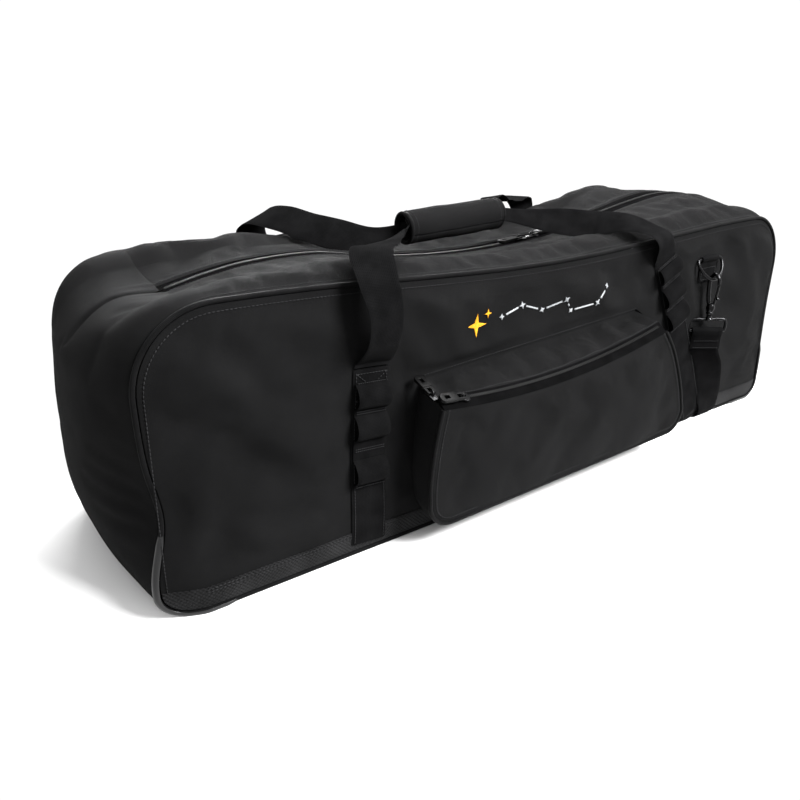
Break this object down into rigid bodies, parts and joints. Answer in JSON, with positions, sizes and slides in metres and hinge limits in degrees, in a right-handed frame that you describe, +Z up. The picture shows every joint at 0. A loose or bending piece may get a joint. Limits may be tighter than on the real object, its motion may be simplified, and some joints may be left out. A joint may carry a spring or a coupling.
{
  "type": "telescope carry case",
  "caption": "Long padded fabric case with a sagging zipped top, wrapped carrying handle, front pocket, lash loops and a clipped shoulder strap.",
  "frame": {"origin": "on the floor under the middle of the case, where its underside rests", "axes": "+X along the case to the right as seen from the pocket side, -Y out of the pocket side, +Z up"},
  "size_m": [0.9197, 0.3257, 0.3042],
  "materials": {
    "canvas": "fine woven polyester, soft sheen",
    "coarse_canvas": "coarse ballistic weave",
    "webbing": "ribbed webbing",
    "piping": "satin cord piping",
    "vinyl_guard": "glossy soft vinyl",
    "zip_tape": "ribbed zip tape with a nylon coil",
    "black_metal": "gloss black nickel",
    "moulded_pull": "gloss moulded",
    "foam": "closed-cell foam",
    "board": "corrugated stiffener"
  },
  "bodies": {
    "case": {"front_panel": "canvas", "rear_panel": "canvas", "bottom_panel": "coarse_canvas", "left_end_gusset": "canvas", "right_end_gusset": "canvas", "front_pad": "foam", "rear_pad": "foam", "left_end_pad": "foam", "right_end_pad": "foam", "base_board": "board", "front_piping": "piping", "rear_piping": "piping", "front_kick_band": "coarse_canvas", "rear_kick_band": "coarse_canvas", "front_left_guard": "vinyl_guard", "front_right_guard": "vinyl_guard", "front_strap_left": "webbing", "front_strap_right": "webbing", "rear_strap_left": "webbing", "rear_strap_right": "webbing", "left_lash_ladder": "webbing", "right_lash_ladder": "webbing", "front_handle_left": "webbing", "front_handle_right": "webbing", "rear_handle_left": "webbing", "rear_handle_right": "webbing", "pocket_front": "canvas", "pocket_gusset": "canvas", "pocket_piping": "piping", "pocket_zip_tape": "zip_tape", "front_ring_tab": "webbing", "rear_ring_tab": "webbing", "shoulder_strap_front": "webbing", "shoulder_strap_base": "webbing", "shoulder_strap_rear": "webbing"},
    "front_flap": {"front_top_flap": "canvas", "front_zip_tape": "zip_tape"},
    "rear_flap": {"rear_top_flap": "canvas", "rear_zip_tape": "zip_tape"},
    "main_slider_left": {"main_slider_left": "black_metal"},
    "main_slider_right": {"main_slider_right": "black_metal"},
    "main_pull_left": {"main_pull_left": "moulded_pull"},
    "main_pull_right": {"main_pull_right": "moulded_pull"},
    "handle": {"grip_wrap": "canvas", "handle_core": "webbing"},
    "wrap_flap": {"grip_flap": "canvas"},
    "pocket_lid": {"pocket_lid": "canvas"},
    "pocket_slider_front": {"pocket_slider_front": "black_metal"},
    "pocket_slider_side": {"pocket_slider_side": "black_metal"},
    "pocket_pull_front": {"pocket_pull_front": "moulded_pull"},
    "pocket_pull_side": {"pocket_pull_side": "moulded_pull"},
    "front_drop": {"front_ring": "black_metal", "front_eye": "black_metal"},
    "front_hook": {"front_hook": "black_metal"},
    "front_gate": {"front_gate": "black_metal"},
    "rear_drop": {"rear_ring": "black_metal", "rear_eye": "black_metal"},
    "rear_hook": {"rear_hook": "black_metal"},
    "rear_gate": {"rear_gate": "black_metal"}
  },
  "joints": [
    {"name": "front_top_open", "type": "hinge", "parent": "case", "child": "front_flap", "pos_m": [0, -0.121, 0.252], "axis": [1, 0, 0], "range_deg": [0, 35], "deforming": ["front_top_flap", "front_zip_tape"]},
    {"name": "rear_top_open", "type": "hinge", "parent": "case", "child": "rear_flap", "pos_m": [0, 0.121, 0.252], "axis": [-1, 0, 0], "range_deg": [0, 35.5], "deforming": ["rear_top_flap", "rear_zip_tape"]},
    {"name": "main_slider_left_travel", "type": "hinge", "parent": "case", "child": "main_slider_left", "pos_m": [-0.02, 0, 1.267], "axis": [0, 1, 0], "range_deg": [0, 16]},
    {"name": "main_slider_right_travel", "type": "hinge", "parent": "case", "child": "main_slider_right", "pos_m": [-0.02, 0, 1.267], "axis": [0, -1, 0], "range_deg": [0, 6.3]},
    {"name": "handle_lift", "type": "slide", "parent": "case", "child": "handle", "axis": [0, 0, 1], "range_m": [0, 0.081], "deforming": ["front_handle_left", "front_handle_right", "rear_handle_left", "rear_handle_right"]},
    {"name": "main_pull_left_swing", "type": "hinge", "parent": "main_slider_left", "child": "main_pull_left", "pos_m": [0.06567, 0, 0.25311], "axis": [0, 1, 0], "range_deg": [0, 85]},
    {"name": "main_pull_right_swing", "type": "hinge", "parent": "main_slider_right", "child": "main_pull_right", "pos_m": [0.0856, 0, 0.25498], "axis": [0, -1, 0], "range_deg": [0, 85]},
    {"name": "wrap_flap_open", "type": "hinge", "parent": "handle", "child": "wrap_flap", "pos_m": [-0.041, -0.0162, 0.2754], "axis": [0.9992, 0, 0.04], "range_deg": [0, 130]},
    {"name": "pocket_lid_open", "type": "hinge", "parent": "case", "child": "pocket_lid", "pos_m": [0, -0.1228, 0.1715], "axis": [-0.9986, 0, -0.0534], "range_deg": [0, 50], "deforming": ["pocket_lid"]},
    {"name": "pocket_slider_front_travel", "type": "hinge", "parent": "case", "child": "pocket_slider_front", "pos_m": [-0.07, 0, 1.008], "axis": [0, -1, 0], "range_deg": [0, 18.8]},
    {"name": "pocket_slider_side_travel", "type": "slide", "parent": "case", "child": "pocket_slider_side", "axis": [0, 0.9428, 0.3335], "range_m": [0, 0.008]},
    {"name": "pocket_pull_front_swing", "type": "hinge", "parent": "pocket_slider_front", "child": "pocket_pull_front", "pos_m": [-0.15766, -0.16534, 0.15254], "axis": [0.0505, 0.8678, 0.4943], "range_deg": [0, 150]},
    {"name": "pocket_pull_side_swing", "type": "hinge", "parent": "pocket_slider_side", "child": "pocket_pull_side", "pos_m": [-0.1854, -0.1543, 0.15828], "axis": [1, 0, 0], "range_deg": [0, 120]},
    {"name": "front_ring_swing", "type": "hinge", "parent": "case", "child": "front_drop", "pos_m": [0.27, -0.1265, 0.224], "axis": [-1, 0, 0], "range_deg": [0, 25], "deforming": ["shoulder_strap_front"]},
    {"name": "front_hook_turn", "type": "hinge", "parent": "front_drop", "child": "front_hook", "pos_m": [0.27, -0.13858, 0.155], "axis": [0, 0, 1], "range_deg": [-20, 20]},
    {"name": "front_gate_press", "type": "hinge", "parent": "front_hook", "child": "front_gate", "pos_m": [0.27, -0.14318, 0.17085], "axis": [-1, 0, 0], "range_deg": [0, 18], "stiffness_Nm_per_rad": 0.02, "springref_deg": -17.19},
    {"name": "rear_ring_swing", "type": "hinge", "parent": "case", "child": "rear_drop", "pos_m": [-0.27, 0.1265, 0.224], "axis": [1, 0, 0], "range_deg": [0, 25], "deforming": ["shoulder_strap_rear"]},
    {"name": "rear_hook_turn", "type": "hinge", "parent": "rear_drop", "child": "rear_hook", "pos_m": [-0.27, 0.13858, 0.155], "axis": [0, 0, 1], "range_deg": [-20, 20]},
    {"name": "rear_gate_press", "type": "hinge", "parent": "rear_hook", "child": "rear_gate", "pos_m": [-0.27, 0.14318, 0.17085], "axis": [1, 0, 0], "range_deg": [0, 18], "stiffness_Nm_per_rad": 0.02, "springref_deg": -17.19}
  ],
  "couplings": [
    {"joint": "rear_top_open", "follows": "front_top_open", "ratio": 1},
    {"joint": "main_slider_left_travel", "follows": "front_top_open", "ratio": 0.455},
    {"joint": "main_slider_right_travel", "follows": "front_top_open", "ratio": 0.176},
    {"joint": "handle_lift", "follows": "front_top_open", "m_per_rad": 0.1309},
    {"joint": "pocket_slider_front_travel", "follows": "pocket_lid_open", "ratio": 0.372}
  ]
}
